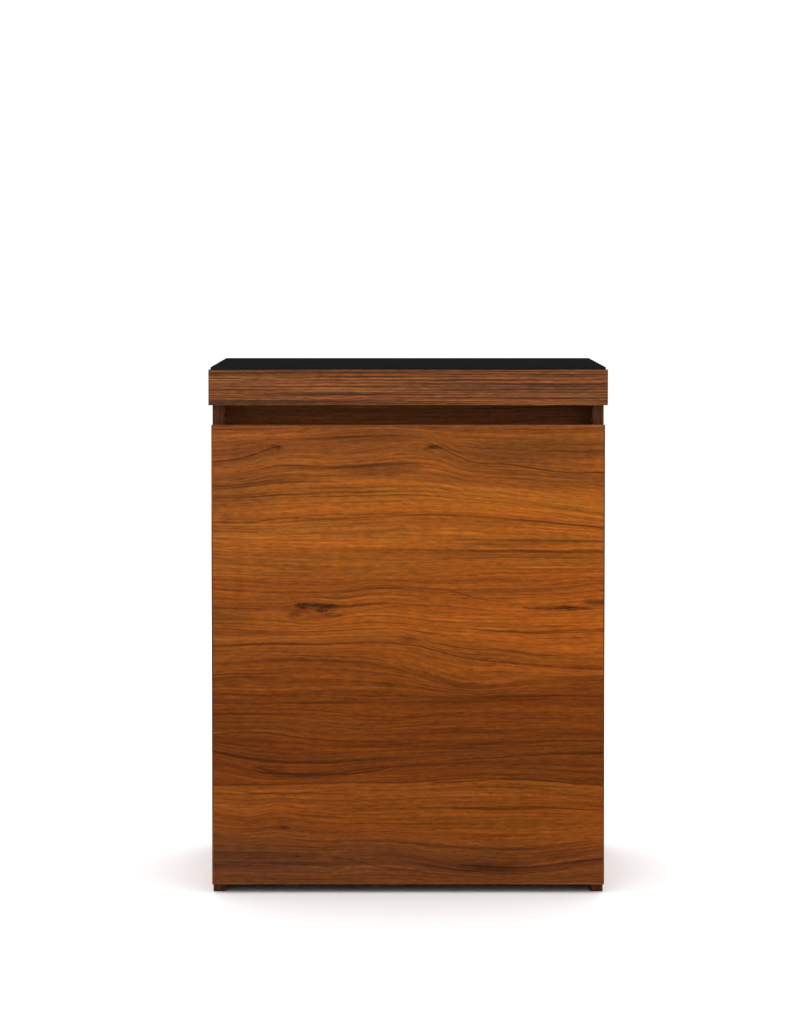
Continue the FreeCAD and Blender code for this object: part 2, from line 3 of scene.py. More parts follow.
import bmesh
import bpy
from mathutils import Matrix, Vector


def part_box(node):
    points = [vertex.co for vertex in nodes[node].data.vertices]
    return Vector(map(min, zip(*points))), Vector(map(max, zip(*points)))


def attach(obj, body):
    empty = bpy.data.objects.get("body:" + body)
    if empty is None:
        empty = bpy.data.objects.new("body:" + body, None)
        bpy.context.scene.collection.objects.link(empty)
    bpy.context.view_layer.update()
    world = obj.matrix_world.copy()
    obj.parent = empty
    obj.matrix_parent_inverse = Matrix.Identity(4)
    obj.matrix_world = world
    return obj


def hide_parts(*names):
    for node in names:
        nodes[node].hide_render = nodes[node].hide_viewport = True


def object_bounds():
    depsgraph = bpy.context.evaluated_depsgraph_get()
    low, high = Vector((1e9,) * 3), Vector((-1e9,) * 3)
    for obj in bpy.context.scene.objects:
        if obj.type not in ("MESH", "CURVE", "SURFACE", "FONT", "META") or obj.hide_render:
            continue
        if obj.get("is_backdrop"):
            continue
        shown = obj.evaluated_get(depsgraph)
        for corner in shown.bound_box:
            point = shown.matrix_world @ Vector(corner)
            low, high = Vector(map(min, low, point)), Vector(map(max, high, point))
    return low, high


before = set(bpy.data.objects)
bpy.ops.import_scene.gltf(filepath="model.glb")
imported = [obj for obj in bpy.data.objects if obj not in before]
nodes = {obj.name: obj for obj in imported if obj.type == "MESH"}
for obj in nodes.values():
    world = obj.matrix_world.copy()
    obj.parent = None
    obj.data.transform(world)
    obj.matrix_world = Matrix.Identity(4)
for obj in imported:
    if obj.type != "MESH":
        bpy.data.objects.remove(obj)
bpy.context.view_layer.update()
MM = 0.001


# ------------------------------------------------------------------ node trees


def srgb(red, green, blue):
    """A colour as a screen shows it, 0 to 255, turned into the linear values that shaders use."""
    linear = []
    for value in (red, green, blue):
        part = value / 255
        linear.append(part / 12.92 if part <= 0.04045 else ((part + 0.055) / 1.055) ** 2.4)
    return (*linear, 1)


class Surface:
    """A material under construction: each method adds one node and gives back its output."""

    def __init__(self, name):
        self.material = bpy.data.materials.new(name)
        self.material.use_nodes = True
        self.tree = self.material.node_tree
        self.tree.nodes.clear()
        coordinates = self.node("ShaderNodeTexCoord")
        self.position = coordinates.outputs["Object"]
        self.normal = coordinates.outputs["Normal"]
        split = self.node("ShaderNodeSeparateXYZ")
        self.feed(split.inputs[0], self.position)
        self.x, self.y, self.z = split.outputs

    def node(self, kind, **settings):
        made = self.tree.nodes.new(kind)
        for key, value in settings.items():
            setattr(made, key, value)
        return made

    def feed(self, socket, value):
        if isinstance(value, bpy.types.NodeSocket):
            self.tree.links.new(value, socket)
        else:
            socket.default_value = value

    def math(self, operation, *values, clamp=False):
        made = self.node("ShaderNodeMath", operation=operation, use_clamp=clamp)
        for socket, value in zip(made.inputs, values):
            self.feed(socket, value)
        return made.outputs[0]

    def vector(self, x, y, z=0.0):
        made = self.node("ShaderNodeCombineXYZ")
        for socket, value in zip(made.inputs, (x, y, z)):
            self.feed(socket, value)
        return made.outputs[0]

    def streaks(self, along, across, per_metre_along, per_metre_across, seed,
                detail=3.0, roughness=0.55):
        """Noise drawn out along the grain, 0 to 1."""
        vector = self.vector(self.math("MULTIPLY", along, per_metre_along),
                             self.math("MULTIPLY", across, per_metre_across), seed)
        made = self.node("ShaderNodeTexNoise", noise_dimensions="3D")
        self.feed(made.inputs["Vector"], vector)
        self.feed(made.inputs["Scale"], 1.0)
        self.feed(made.inputs["Detail"], detail)
        self.feed(made.inputs["Roughness"], roughness)
        return made.outputs[0]

    def ramp(self, factor, stops):
        made = self.node("ShaderNodeValToRGB")
        band = made.color_ramp
        while len(band.elements) < len(stops):
            band.elements.new(0.5)
        for element, (position, colour) in zip(band.elements, stops):
            element.position = position
            element.color = colour
        self.feed(made.inputs[0], factor)
        return made.outputs[0]

    def span(self, value, low, high, to_low=0.0, to_high=1.0, smooth=False):
        """Maps low..high of a value onto to_low..to_high, and holds the ends."""
        made = self.node("ShaderNodeMapRange", interpolation_type="SMOOTHSTEP" if smooth else "LINEAR")
        for socket, number in zip(made.inputs, (value, low, high, to_low, to_high)):
            self.feed(socket, number)
        return made.outputs[0]

    def mix(self, factor, first, second, blend="MIX"):
        made = self.node("ShaderNodeMix", data_type="RGBA", blend_type=blend)
        self.feed(made.inputs["Factor"], factor)
        self.feed(made.inputs[6], first)
        self.feed(made.inputs[7], second)
        return made.outputs[2]

    def tinted(self, colour, tint, amount):
        """A colour multiplied by a tint, as far as the amount says."""
        return self.mix(amount, colour, self.mix(1.0, colour, tint, "MULTIPLY"))

    def shade(self, colour, factor):
        """A colour times a number."""
        made = self.node("ShaderNodeVectorMath", operation="SCALE")
        self.feed(made.inputs[0], colour if isinstance(colour, bpy.types.NodeSocket) else colour[:3])
        self.feed(made.inputs["Scale"], factor)
        return made.outputs[0]

    def bump(self, height, distance, strength=1.0):
        made = self.node("ShaderNodeBump")
        self.feed(made.inputs["Height"], height)
        self.feed(made.inputs["Distance"], distance)
        self.feed(made.inputs["Strength"], strength)
        return made.outputs[0]

    def finish(self, colour, roughness, normal=None, specular=0.5, **sockets):
        shader = self.node("ShaderNodeBsdfPrincipled")
        self.feed(shader.inputs["Base Color"], colour)
        self.feed(shader.inputs["Roughness"], roughness)
        self.feed(shader.inputs["Specular IOR Level"], specular)
        if normal is not None:
            self.feed(shader.inputs["Normal"], normal)
        for name, value in sockets.items():
            self.feed(shader.inputs[name.replace("_", " ")], value)
        output = self.node("ShaderNodeOutputMaterial")
        self.feed(output.inputs["Surface"], shader.outputs[0])
        return self.material


def dress(names, material):
    """Gives CAD nodes their material."""
    for name in names:
        slots = nodes[name].data.materials
        slots.clear()
        slots.append(material)


# ------------------------------------------------------------------ wood decor

WOOD_SPECULAR = 0.05
WOOD_ROUGHNESS = 0.42
CORE_ROUGHNESS = 0.85
EMBOSSING = 0.12 * MM
EMBOSSING_STRENGTH = 0.5
# Tints laid over the whole decor. The rail's is darker and bluer, for a board that sits in shade.
WOOD_DEPTH = (0.78, 0.72, 0.42, 1)
RAIL_DEPTH = (0.62, 0.68, 1.1, 1)
DARK_GRAIN = (0.32, 0.3, 0.3, 1)
SMUDGE = (0.6, 0.66, 0.9, 1)
FLECK_TINT = (0.36, 0.38, 0.42, 1)
KNOT_BLACK = (0.38, 0.4, 0.42, 1)
KNOT_RED = (1.05, 0.82, 0.7, 1)
CORE_LIGHT = srgb(196, 160, 118)
CORE_DARK = srgb(128, 92, 58)

# The tones of the walnut print, from its pale sapwood to its ashen bottom edge.
PALE = srgb(151, 84, 30)
GOLD = srgb(148, 79, 24)
GREYED = srgb(129, 71, 31)
WARM = srgb(138, 73, 23)
RED = srgb(126, 65, 16)
DEEP = srgb(111, 55, 10)
DARK = srgb(106, 52, 10)
ASHEN = srgb(106, 57, 30)

# The printed sheet that the lines below are drawn on, a little larger than the door, in mm.
DECOR_WIDTH = 640
DECOR_HEIGHT = 730
# The door's grain flows along these lines, from its top to its bottom: each is a run of points
# (mm from the middle, mm above the floor). With each go the tone of the wood there, how dark the
# line itself is, and its half width in mm.
GRAIN = [
    ([(-300, 722), (300, 722)], GREYED, 0, 2),
    ([(-300, 697), (-150, 702), (-30, 707), (90, 697), (300, 697)], GREYED, 0.15, 2),
    ([(-300, 660), (-240, 667), (-200, 678), (-110, 677), (40, 682), (85, 663), (165, 655), (300, 645)],
     GREYED, 0.3, 2.5),
    ([(-300, 600), (-135, 606), (-10, 608), (85, 603), (185, 593), (300, 578)], PALE, 0.3, 2.5),
    ([(-300, 567), (-105, 572), (40, 580), (155, 573), (300, 558)], PALE, 0.45, 2.5),
    ([(-300, 544), (0, 538), (300, 537)], PALE, 0.2, 2),
    ([(-300, 495), (0, 490), (165, 497), (300, 497)], WARM, 0.3, 2),
    ([(-300, 467), (-190, 462), (-120, 463), (-40, 471), (40, 465), (145, 465), (300, 475)], WARM, 0.45, 3),
    ([(-300, 414), (-140, 411), (-30, 416), (45, 408), (300, 404)], GOLD, 0.25, 2.5),
    ([(-300, 380), (-150, 383), (5, 381), (45, 371), (85, 362), (145, 357), (205, 349), (300, 346)],
     WARM, 0.75, 3),
    ([(-300, 351), (-190, 357), (-90, 355), (-30, 347), (85, 318), (185, 323), (300, 329)], RED, 0.5, 5),
    ([(-300, 294), (-150, 292), (15, 296), (300, 295)], DEEP, 0.45, 3.5),
    ([(-300, 256), (-190, 252), (-110, 245), (125, 248), (300, 250)], DEEP, 0.4, 3),
    ([(-300, 219), (-230, 207), (-150, 203), (45, 211), (300, 215)], DARK, 0.75, 4),
    ([(-300, 199), (-270, 195), (-230, 182), (-130, 181), (-65, 190), (85, 199), (300, 196)], DARK, 0.5, 3),
    ([(-300, 166), (0, 171), (65, 175), (145, 175), (300, 166)], DEEP, 0.5, 2.5),
    ([(-300, 120), (-240, 113), (-200, 118), (-150, 112), (-30, 108), (300, 107)], RED, 0.35, 2.5),
    ([(-300, 61), (-150, 58), (-30, 61), (80, 44), (155, 37), (245, 47), (300, 55)], ASHEN, 0.5, 6),
    ([(-300, 5), (300, 5)], ASHEN, 0, 2),
]
# Two printed planks meet at this line of GRAIN, counted from 0: the wood just below it is paler.
PLANK_EDGE = 15
BELOW_PLANK_EDGE = srgb(130, 69, 21)

# Dark flecks on the door, the black specks of its knots and their red eyes: middle across and up,
# half width, half height (mm), darkness.
FLECKS = [
    (-145, 432, 60, 20, 0.4), (38, 682, 22, 8, 0.7), (-204, 681, 20, 7, 0.55), (235, 437, 70, 6, 0.8),
    (288, 446, 30, 6, 0.7), (0, 390, 22, 9, 0.4), (-28, 320, 30, 9, 0.5), (-268, 321, 16, 7, 0.35),
    (258, 316, 26, 9, 0.4), (140, 300, 110, 8, 0.45), (-190, 101, 14, 5, 0.5), (120, 40, 60, 9, 0.45),
    (-160, 60, 34, 9, 0.3), (-215, 192, 34, 9, 0.35), (60, 452, 120, 10, 0.2), (80, 318, 30, 12, 0.3),
]
KNOT_SPOTS = [
    (-132, 434, 13, 5, 1.2), (-124, 440, 20, 6, 1.0), (-160, 441, 16, 6, 1.0), (-142, 441, 12, 4, 0.8),
    (-170, 428, 16, 5, 0.6), (-112, 426, 24, 4, 0.6), (236, 437, 50, 3, 0.7), (38, 683, 10, 4, 0.9),
    (-199, 682, 10, 4, 0.7), (3, 390, 9, 3, 0.5), (-28, 320, 12, 3, 0.4), (-189, 101, 8, 3, 0.5),
]
KNOT_EYES = [(-157, 432, 15, 8, 1.3), (-133, 425, 18, 6, 0.9)]
# Dark lines that start and stop inside the door: points, half width (mm), darkness.
STROKES = [
    ([(-310, 660), (-262, 664), (-228, 673), (-204, 682), (-192, 683)], 1.8, 0.9),
    ([(26, 685), (48, 681), (70, 671), (97, 660), (150, 656), (238, 644), (310, 645)], 1.9, 0.95),
    ([(-310, 568), (-240, 568), (-190, 574), (-104, 573), (-50, 577)], 1.5, 0.8),
    ([(-130, 606), (-60, 609), (10, 610), (80, 603)], 1.3, 0.7),
    ([(-112, 459), (-40, 467), (20, 468), (66, 463), (110, 451), (160, 447)], 1.4, 0.7),
    ([(-118, 424), (-60, 434), (10, 442), (80, 438), (150, 428)], 1.3, 0.6),
    ([(165, 440), (200, 436), (250, 438), (310, 441)], 1.6, 0.85),
    ([(-310, 379), (-150, 382), (10, 380), (40, 373), (86, 361), (150, 354), (220, 349)], 1.8, 0.9),
    ([(-310, 263), (-190, 262), (-60, 253), (60, 262), (200, 262)], 1.5, 0.6),
    ([(-310, 242), (-230, 247), (-140, 236), (-60, 233), (20, 238)], 1.7, 0.8),
    ([(-240, 197), (-200, 186), (-130, 183), (-60, 187), (-20, 196)], 2.0, 0.8),
    ([(30, 170), (100, 173), (160, 177), (215, 173), (270, 166)], 1.8, 0.9),
    ([(-270, 159), (-200, 153), (-140, 156), (-90, 160)], 1.3, 0.7),
    ([(70, 45), (110, 42), (160, 40), (210, 43), (260, 50), (310, 52)], 2.6, 0.9),
    ([(-135, 58), (-100, 54), (-60, 45), (-20, 38), (30, 36)], 2.6, 0.5),
    ([(-310, 280), (-220, 284), (-120, 279), (-20, 270), (60, 276)], 1.4, 0.6),
    ([(-250, 298), (-150, 302), (-60, 298), (10, 300)], 1.3, 0.5),
    ([(-60, 224), (40, 226), (140, 229), (220, 226), (310, 232)], 1.6, 0.6),
    ([(60, 205), (140, 209), (220, 214), (310, 218)], 2.0, 0.8),
    ([(-290, 316), (-268, 326), (-240, 322), (-200, 318)], 1.4, 0.6),
]
# Each of those lines fades in and out over this length, in mm.
STROKE_FADE = 14
# Soft greyish shading in the decor: middle across and up, half width, half height (mm), strength.
SMUDGES = [
    (-45, 652, 85, 16, 0.8), (190, 676, 150, 26, 0.7), (-250, 676, 60, 12, 0.4), (230, 628, 110, 16, 0.5),
    (-70, 697, 110, 14, 0.6), (90, 636, 120, 14, 0.5), (-240, 636, 90, 12, 0.4), (-60, 618, 80, 8, 0.4),
    (-300, 590, 120, 60, 0.5), (-300, 430, 110, 34, 0.5), (-160, 450, 120, 14, 0.4),
    (-60, 556, 110, 12, 0.3), (-130, 318, 130, 16, 0.4), (80, 330, 60, 14, 0.4), (270, 328, 50, 20, 0.4),
    (-180, 210, 150, 14, 0.4), (110, 42, 110, 16, 0.5), (-250, 50, 120, 22, 0.4), (250, 60, 60, 20, 0.35),
]
# The grain bulges around the knots: middle across and up, half width, half height (mm), pull.
KNOT_SPREAD = [(-145, 432, 60, 26, 0.5), (38, 681, 40, 18, 0.5), (-204, 681, 36, 16, 0.5)]


def flow_line(surface, along, points):
    """The height of one grain line at each place along the door."""
    curve = surface.node("ShaderNodeFloatCurve")
    line = curve.mapping.curves[0]
    while len(line.points) < len(points):
        line.points.new(0.5, 0.5)
    for point, (across, height) in zip(line.points, points):
        point.location = (across / DECOR_WIDTH + 0.5, height / DECOR_HEIGHT)
        point.handle_type = "AUTO"
    curve.mapping.update()
    half = DECOR_WIDTH / 2 * MM
    surface.feed(curve.inputs["Value"], surface.span(along, -half, half))
    return surface.span(curve.outputs[0], 0, 1, 0, DECOR_HEIGHT * MM)


def ellipse(surface, x, z, middle_x, middle_z, half_width, half_height):
    """How near a point is to an ellipse's middle: 1 in the middle, 0 from its rim out."""
    across = surface.math("DIVIDE", surface.math("SUBTRACT", x, middle_x * MM), half_width * MM)
    up = surface.math("DIVIDE", surface.math("SUBTRACT", z, middle_z * MM), half_height * MM)
    square = surface.math("ADD", surface.math("MULTIPLY", across, across),
                          surface.math("MULTIPLY", up, up))
    return surface.span(square, 0, 1, 1, 0, smooth=True)


def ragged(surface, places, x, z, per_metre_along, per_metre_across, seed):
    """Patches with torn outlines at the given places, 0 outside them."""
    patches = 0.0
    for middle_x, middle_z, half_width, half_height, strength in places:
        near = ellipse(surface, x, z, middle_x, middle_z, half_width, half_height)
        patches = surface.math("MAXIMUM", patches, surface.math("MULTIPLY", near, strength))
    torn = surface.streaks(x, z, per_metre_along, per_metre_across, seed, 3, 0.65)
    return surface.math("MULTIPLY", patches, surface.span(torn, 0.36, 0.56, 0.1, 1.3), clamp=True)


def fine_grain(surface, colour, along, across, seed):
    """Growth lines, threads and pores over a ground colour, with the height of the embossing."""
    bands = surface.streaks(along, across, 1.3, 42, seed, 2)
    lines = surface.streaks(along, across, 1.8, 130, seed + 3, 4, 0.68)
    threads = surface.streaks(along, across, 5, 310, seed + 7, 3, 0.7)
    dashes = surface.streaks(along, across, 60, 260, seed + 11, 3, 0.6)
    pores = surface.streaks(along, across, 45, 700, seed + 13, 2, 0.6)
    hue = surface.streaks(along, across, 2.5, 30, seed + 17, 3, 0.6)
    tone = surface.span(bands, 0.3, 0.7, 0.84, 1.16)
    tone = surface.math("MULTIPLY", tone, surface.span(threads, 0.25, 0.75, 0.6, 1.4))
    tone = surface.math("MULTIPLY", tone, surface.span(dashes, 0.25, 0.75, 0.7, 1.3))
    shaded = surface.shade(colour, tone)
    tint = surface.ramp(hue, [(0.3, (1.04, 0.97, 0.94, 1)), (0.5, (1, 1, 1, 1)),
                              (0.7, (0.92, 1.04, 1.1, 1))])
    shaded = surface.mix(1.0, shaded, tint, "MULTIPLY")
    darkness = surface.span(lines, 0.52, 0.7, 0, 0.86, smooth=True)
    shaded = surface.tinted(shaded, DARK_GRAIN, darkness)
    light = surface.span(lines, 0.47, 0.3, 1, 1.42, smooth=True)
    shaded = surface.shade(shaded, light)
    pore = surface.span(pores, 0.58, 0.7, 0, 0.55, smooth=True)
    shaded = surface.tinted(shaded, DARK_GRAIN, pore)
    height = surface.math("SUBTRACT", surface.math("MULTIPLY", threads, 0.5), pore)
    return shaded, height


def waver(surface, height, run, rise, seed):
    """A height that wavers along the grain."""
    wander = surface.streaks(run, rise, 6, 16, seed, 3)
    return surface.math("ADD", height, surface.span(wander, 0.25, 0.75, -2.6 * MM, 2.6 * MM))


def plain_decor(surface, run, rise, seed, depth=WOOD_DEPTH):
    """Walnut decor without knots, with its grain along one direction."""
    wave = surface.streaks(run, rise, 1.1, 3, seed, 2)
    waved = surface.math("ADD", rise, surface.span(wave, 0.2, 0.8, -14 * MM, 14 * MM))
    rise = waver(surface, waved, run, rise, seed + 1)
    zone = surface.streaks(run, rise, 0.9, 9, seed + 2, 2)
    ground = surface.ramp(zone, [(0.3, srgb(100, 50, 16)), (0.46, srgb(124, 64, 20)),
                                 (0.6, srgb(146, 79, 26)), (0.75, srgb(156, 86, 32))])
    ground = surface.mix(1.0, ground, depth, "MULTIPLY")
    return fine_grain(surface, ground, run, rise, seed + 5)


def raw_core(surface, seed):
    """The flakes of bare particle board."""
    flakes = surface.node("ShaderNodeTexVoronoi", feature="F1")
    surface.feed(flakes.inputs["Vector"], surface.position)
    surface.feed(flakes.inputs["Scale"], 420)
    grains = surface.streaks(surface.x, surface.y, 300, 300, seed, 2)
    tone = surface.math("MULTIPLY", flakes.outputs["Distance"], surface.span(grains, 0.3, 0.7, 0.7, 1.5))
    colour = surface.ramp(tone, [(0.05, CORE_LIGHT), (0.45, srgb(168, 130, 88)), (0.8, CORE_DARK)])
    return colour, tone


def spread_height(surface):
    """The height of the grain at each place: it is pulled apart round the knots, and wavers a little."""
    spread = surface.z
    for middle_x, middle_z, half_width, half_height, pull in KNOT_SPREAD:
        near = ellipse(surface, surface.x, surface.z, middle_x, middle_z, half_width, half_height)
        offset = surface.math("SUBTRACT", surface.z, middle_z * MM)
        push = surface.math("MULTIPLY", surface.math("MULTIPLY", offset, near), pull)
        spread = surface.math("SUBTRACT", spread, push)
    return waver(surface, spread, surface.x, surface.z, 5)


def grain_depth(surface, heights, distances, means):
    """How far down the decor a place is, counted across the bent grain lines."""
    depth = 0.0
    for index in range(len(GRAIN) - 1):
        gap = surface.math("SUBTRACT", heights[index], heights[index + 1])
        share = surface.math("DIVIDE", distances[index], gap, clamp=True)
        depth = surface.math("MULTIPLY_ADD", share, means[index] - means[index + 1], depth)
    return depth


def grain_lines(surface, distances):
    """How dark the grain lines are at each place, with the strength of each one coming and going."""
    dark = 0.0
    for index, (_, _, darkness, half_width) in enumerate(GRAIN):
        if darkness:
            away = surface.math("ABSOLUTE", distances[index])
            fade = surface.streaks(surface.x, surface.z, 6, 3, 40 + index, 1)
            strength = surface.span(fade, 0.3, 0.6, darkness * 0.45, darkness)
            line = surface.span(away, 0, half_width * MM, 1, 0, smooth=True)
            dark = surface.math("MAXIMUM", dark, surface.math("MULTIPLY", line, strength))
    return dark


def strokes(surface, dark):
    """Adds the dark lines that start and stop inside the door."""
    x = surface.x
    for points, half_width, darkness in STROKES:
        distance = surface.math("SUBTRACT", flow_line(surface, x, points), surface.z)
        away = surface.math("ABSOLUTE", distance)
        line = surface.span(away, 0, half_width * MM, darkness, 0, smooth=True)
        start = surface.span(x, points[0][0] * MM, (points[0][0] + STROKE_FADE) * MM)
        end = surface.span(x, (points[-1][0] - STROKE_FADE) * MM, points[-1][0] * MM, 1, 0)
        line = surface.math("MULTIPLY", line, surface.math("MULTIPLY", start, end))
        dark = surface.math("MAXIMUM", dark, line)
    return dark


def door_ground(surface, depth, means, spread):
    """The tone of the wood under the grain: by depth, a little by side, and greyer in the smudges."""
    total = means[0] - means[-1]
    seam = 0.004
    stops = []
    for index, (_, tone, _, _) in enumerate(GRAIN):
        place = (means[0] - means[index]) / total
        stops.append((place, tone))
        if index == PLANK_EDGE:
            stops.append((place + seam, BELOW_PLANK_EDGE))
    ground = surface.ramp(surface.math("DIVIDE", depth, total), stops)
    low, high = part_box("door_panel")
    side_tint = surface.ramp(surface.span(surface.x, low.x, high.x), [(0, (0.97, 0.98, 1.3, 1)),
                                                                      (0.5, (1, 1, 1, 1)),
                                                                      (1, (1.04, 1.0, 0.8, 1))])
    ground = surface.mix(1.0, ground, side_tint, "MULTIPLY")
    smudge = 0.0
    for middle_x, middle_z, half_width, half_height, strength in SMUDGES:
        near = ellipse(surface, surface.x, spread, middle_x, middle_z, half_width, half_height)
        smudge = surface.math("MAXIMUM", smudge, surface.math("MULTIPLY", near, strength))
    ground = surface.tinted(ground, SMUDGE, smudge)
    return surface.mix(1.0, ground, WOOD_DEPTH, "MULTIPLY")


def door_decor():
    """Walnut decor of the door: its own pattern in front, and a plain one behind."""
    surface = Surface("door_decor")
    x, z = surface.x, surface.z
    spread = spread_height(surface)
    heights = [flow_line(surface, x, points) for points, *_ in GRAIN]
    distances = [surface.math("SUBTRACT", height, spread) for height in heights]
    means = [sum(height for _, height in points) / len(points) * MM for points, *_ in GRAIN]
    depth = grain_depth(surface, heights, distances, means)
    dark = strokes(surface, grain_lines(surface, distances))
    ground = door_ground(surface, depth, means, spread)
    colour, height = fine_grain(surface, ground, x, depth, 2)
    colour = surface.tinted(colour, DARK_GRAIN, dark)
    colour = surface.tinted(colour, FLECK_TINT, ragged(surface, FLECKS, x, z, 26, 240, 71))
    colour = surface.tinted(colour, KNOT_RED, ragged(surface, KNOT_EYES, x, z, 60, 120, 77))
    colour = surface.tinted(colour, KNOT_BLACK, ragged(surface, KNOT_SPOTS, x, z, 110, 190, 83))

    back_colour, back_height = plain_decor(surface, x, z, 90)
    low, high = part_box("door_panel")
    middle = (low.y + high.y) / 2
    behind = surface.span(surface.y, middle - 0.5 * MM, middle + 0.5 * MM)
    colour = surface.mix(behind, colour, back_colour)
    height = surface.math("ADD", surface.math("MULTIPLY", height, surface.span(behind, 0, 1, 1, 0)),
                          surface.math("MULTIPLY", back_height, behind))
    normal = surface.bump(height, EMBOSSING, EMBOSSING_STRENGTH)
    return surface.finish(colour, WOOD_ROUGHNESS, normal, WOOD_SPECULAR)


def board_decor(name, along, across, face, seed, depth=WOOD_DEPTH):
    """Walnut decor for a board: grain along one axis, bare core on the faces that are not laminated."""
    surface = Surface(name)
    axes = {"x": surface.x, "y": surface.y, "z": surface.z}
    colour, height = plain_decor(surface, axes[along], axes[across], seed, depth)
    core, flakes = raw_core(surface, seed)
    facing = surface.node("ShaderNodeSeparateXYZ")
    surface.feed(facing.inputs[0], surface.normal)
    laminated = surface.span(surface.math("ABSOLUTE", facing.outputs["xyz".index(face)]), 0.4, 0.6)
    colour = surface.mix(laminated, core, colour)
    height = surface.math("ADD", surface.math("MULTIPLY", height, laminated),
                          surface.math("MULTIPLY", flakes, surface.span(laminated, 0, 1, 2, 0)))
    normal = surface.bump(height, EMBOSSING, EMBOSSING_STRENGTH)
    roughness = surface.span(laminated, 0, 1, CORE_ROUGHNESS, WOOD_ROUGHNESS)
    return surface.finish(colour, roughness, normal, WOOD_SPECULAR)


def edging_decor(name, along, across, seed, shade=1.0):
    """Plastic edging printed with straight, narrow grain lines.

    The lines run along one axis and differ over the two in across. Shade scales the print: below 1 it is
    painted shade, above 1 a painted highlight.
    """
    surface = Surface(name)
    axes = {"x": surface.x, "y": surface.y, "z": surface.z}
    run = axes[along]
    rise = surface.math("ADD", axes[across[0]], axes[across[1]])
    ripple = surface.streaks(run, rise, 14, 60, seed, 2)
    rise = surface.math("ADD", rise, surface.span(ripple, 0.25, 0.75, -0.6 * MM, 0.6 * MM))
    lines = surface.streaks(run, rise, 2.6, 400, seed + 1, 4, 0.75)
    bands = surface.streaks(run, rise, 1.4, 80, seed + 2, 3)
    dashes = surface.streaks(run, rise, 50, 420, seed + 3, 3, 0.6)
    hue = surface.streaks(run, rise, 6, 90, seed + 4, 2)
    colour = surface.ramp(lines, [(0.32, srgb(146, 86, 42)), (0.42, srgb(118, 67, 30)),
                                  (0.5, srgb(96, 53, 24)), (0.57, srgb(70, 38, 18)),
                                  (0.66, srgb(36, 19, 11))])
    colour = surface.shade(colour, surface.span(bands, 0.3, 0.7, 0.7 * shade, 1.22 * shade))
    colour = surface.shade(colour, surface.span(dashes, 0.25, 0.75, 0.45, 1.55))
    tint = surface.ramp(hue, [(0.3, (1.1, 0.92, 0.94, 1)), (0.5, (1, 1, 1, 1)),
                              (0.7, (0.9, 1.05, 0.95, 1))])
    colour = surface.mix(1.0, colour, tint, "MULTIPLY")
    fibres = surface.streaks(run, rise, 20, 900, seed + 5, 2)
    return surface.finish(colour, 0.4, surface.bump(fibres, 0.0001, 0.4), 0.08)


def dress_boards():
    dress(["door_panel"], door_decor())
    dress(["left_side_panel"], board_decor("left_side_decor", "y", "z", "x", 11))
    dress(["right_side_panel"], board_decor("right_side_decor", "y", "z", "x", 23))
    dress(["top_board"], board_decor("top_decor", "x", "y", "z", 31))
    dress(["bottom_panel", "shelf"], board_decor("floor_decor", "x", "y", "z", 43))
    dress(["front_rail"], board_decor("rail_decor", "x", "z", "y", 57, RAIL_DEPTH))
    dress(["back_panel"], board_decor("back_decor", "x", "z", "y", 61))
    build_up = [name for name in nodes if name.startswith("top_build_up")]
    dress(build_up, board_decor("build_up_decor", "x", "y", "z", 71))
    dress(["top_edging_front", "top_edging_back"], edging_decor("top_edging_decor_x", "x", "zy", 5))
    dress(["top_edging_left", "top_edging_right"], edging_decor("top_edging_decor_y", "y", "zx", 9))
    # Painted shade: the side panels' front edging is darkened to 0.48 because these edges sit back in the
    # shade of the top and of the door.
    dress(["left_side_edging", "right_side_edging"],
          edging_decor("side_edging_decor", "z", "xy", 13, shade=0.48))
    # Painted shade: the door's side edging is darkened to 0.8, for the dark lines along the door's edges.
    dress(["door_edging_left", "door_edging_right"],
          edging_decor("door_edging_decor_z", "z", "yx", 17, shade=0.8))
    # Painted highlight: the door's top edging is brightened to 1.4, for the light line where the top edge
    # catches the light.
    dress(["door_edging_top"], edging_decor("door_top_edging_decor", "x", "yz", 21, shade=1.4))
    # Painted shade: this print is darkened to 0.85 for the door's bottom edge, which faces away from the
    # light. The other edging that shares this material gets the same darker print.
    dress(["door_edging_bottom", "bottom_panel_edging", "shelf_edging", "front_rail_edging"],
          edging_decor("edging_decor_x", "x", "yz", 25, shade=0.85))


# ------------------------------------------------------------------ hardware, plastic, foam


def metal(name, colour, roughness, seed):
    """Plated steel with a faint uneven polish."""
    surface = Surface(name)
    cloud = surface.streaks(surface.x, surface.z, 120, 120, seed, 3)
    scratch = surface.streaks(surface.y, surface.z, 300, 4000, seed + 1, 2)
    tone = surface.shade(colour, surface.span(cloud, 0.3, 0.7, 0.94, 1.04))
    rough = surface.math("ADD", surface.span(cloud, 0.3, 0.7, roughness - 0.04, roughness + 0.04),
                         surface.span(scratch, 0.3, 0.7, -0.03, 0.03))
    return surface.finish(tone, rough, surface.bump(scratch, 0.00001, 0.2), Metallic=1.0)


def plastic(name, colour, roughness, seed, grain_per_metre=2500):
    """Moulded plastic with a fine eroded texture."""
    surface = Surface(name)
    texture = surface.node("ShaderNodeTexNoise")
    surface.feed(texture.inputs["Vector"], surface.position)
    surface.feed(texture.inputs["Scale"], grain_per_metre)
    surface.feed(texture.inputs["Detail"], 2.0)
    cloud = surface.streaks(surface.x, surface.z, 60, 60, seed, 2)
    tone = surface.shade(colour, surface.span(cloud, 0.3, 0.7, 0.9, 1.1))
    return surface.finish(tone, roughness, surface.bump(texture.outputs[0], 0.00005, 0.5), 0.4)


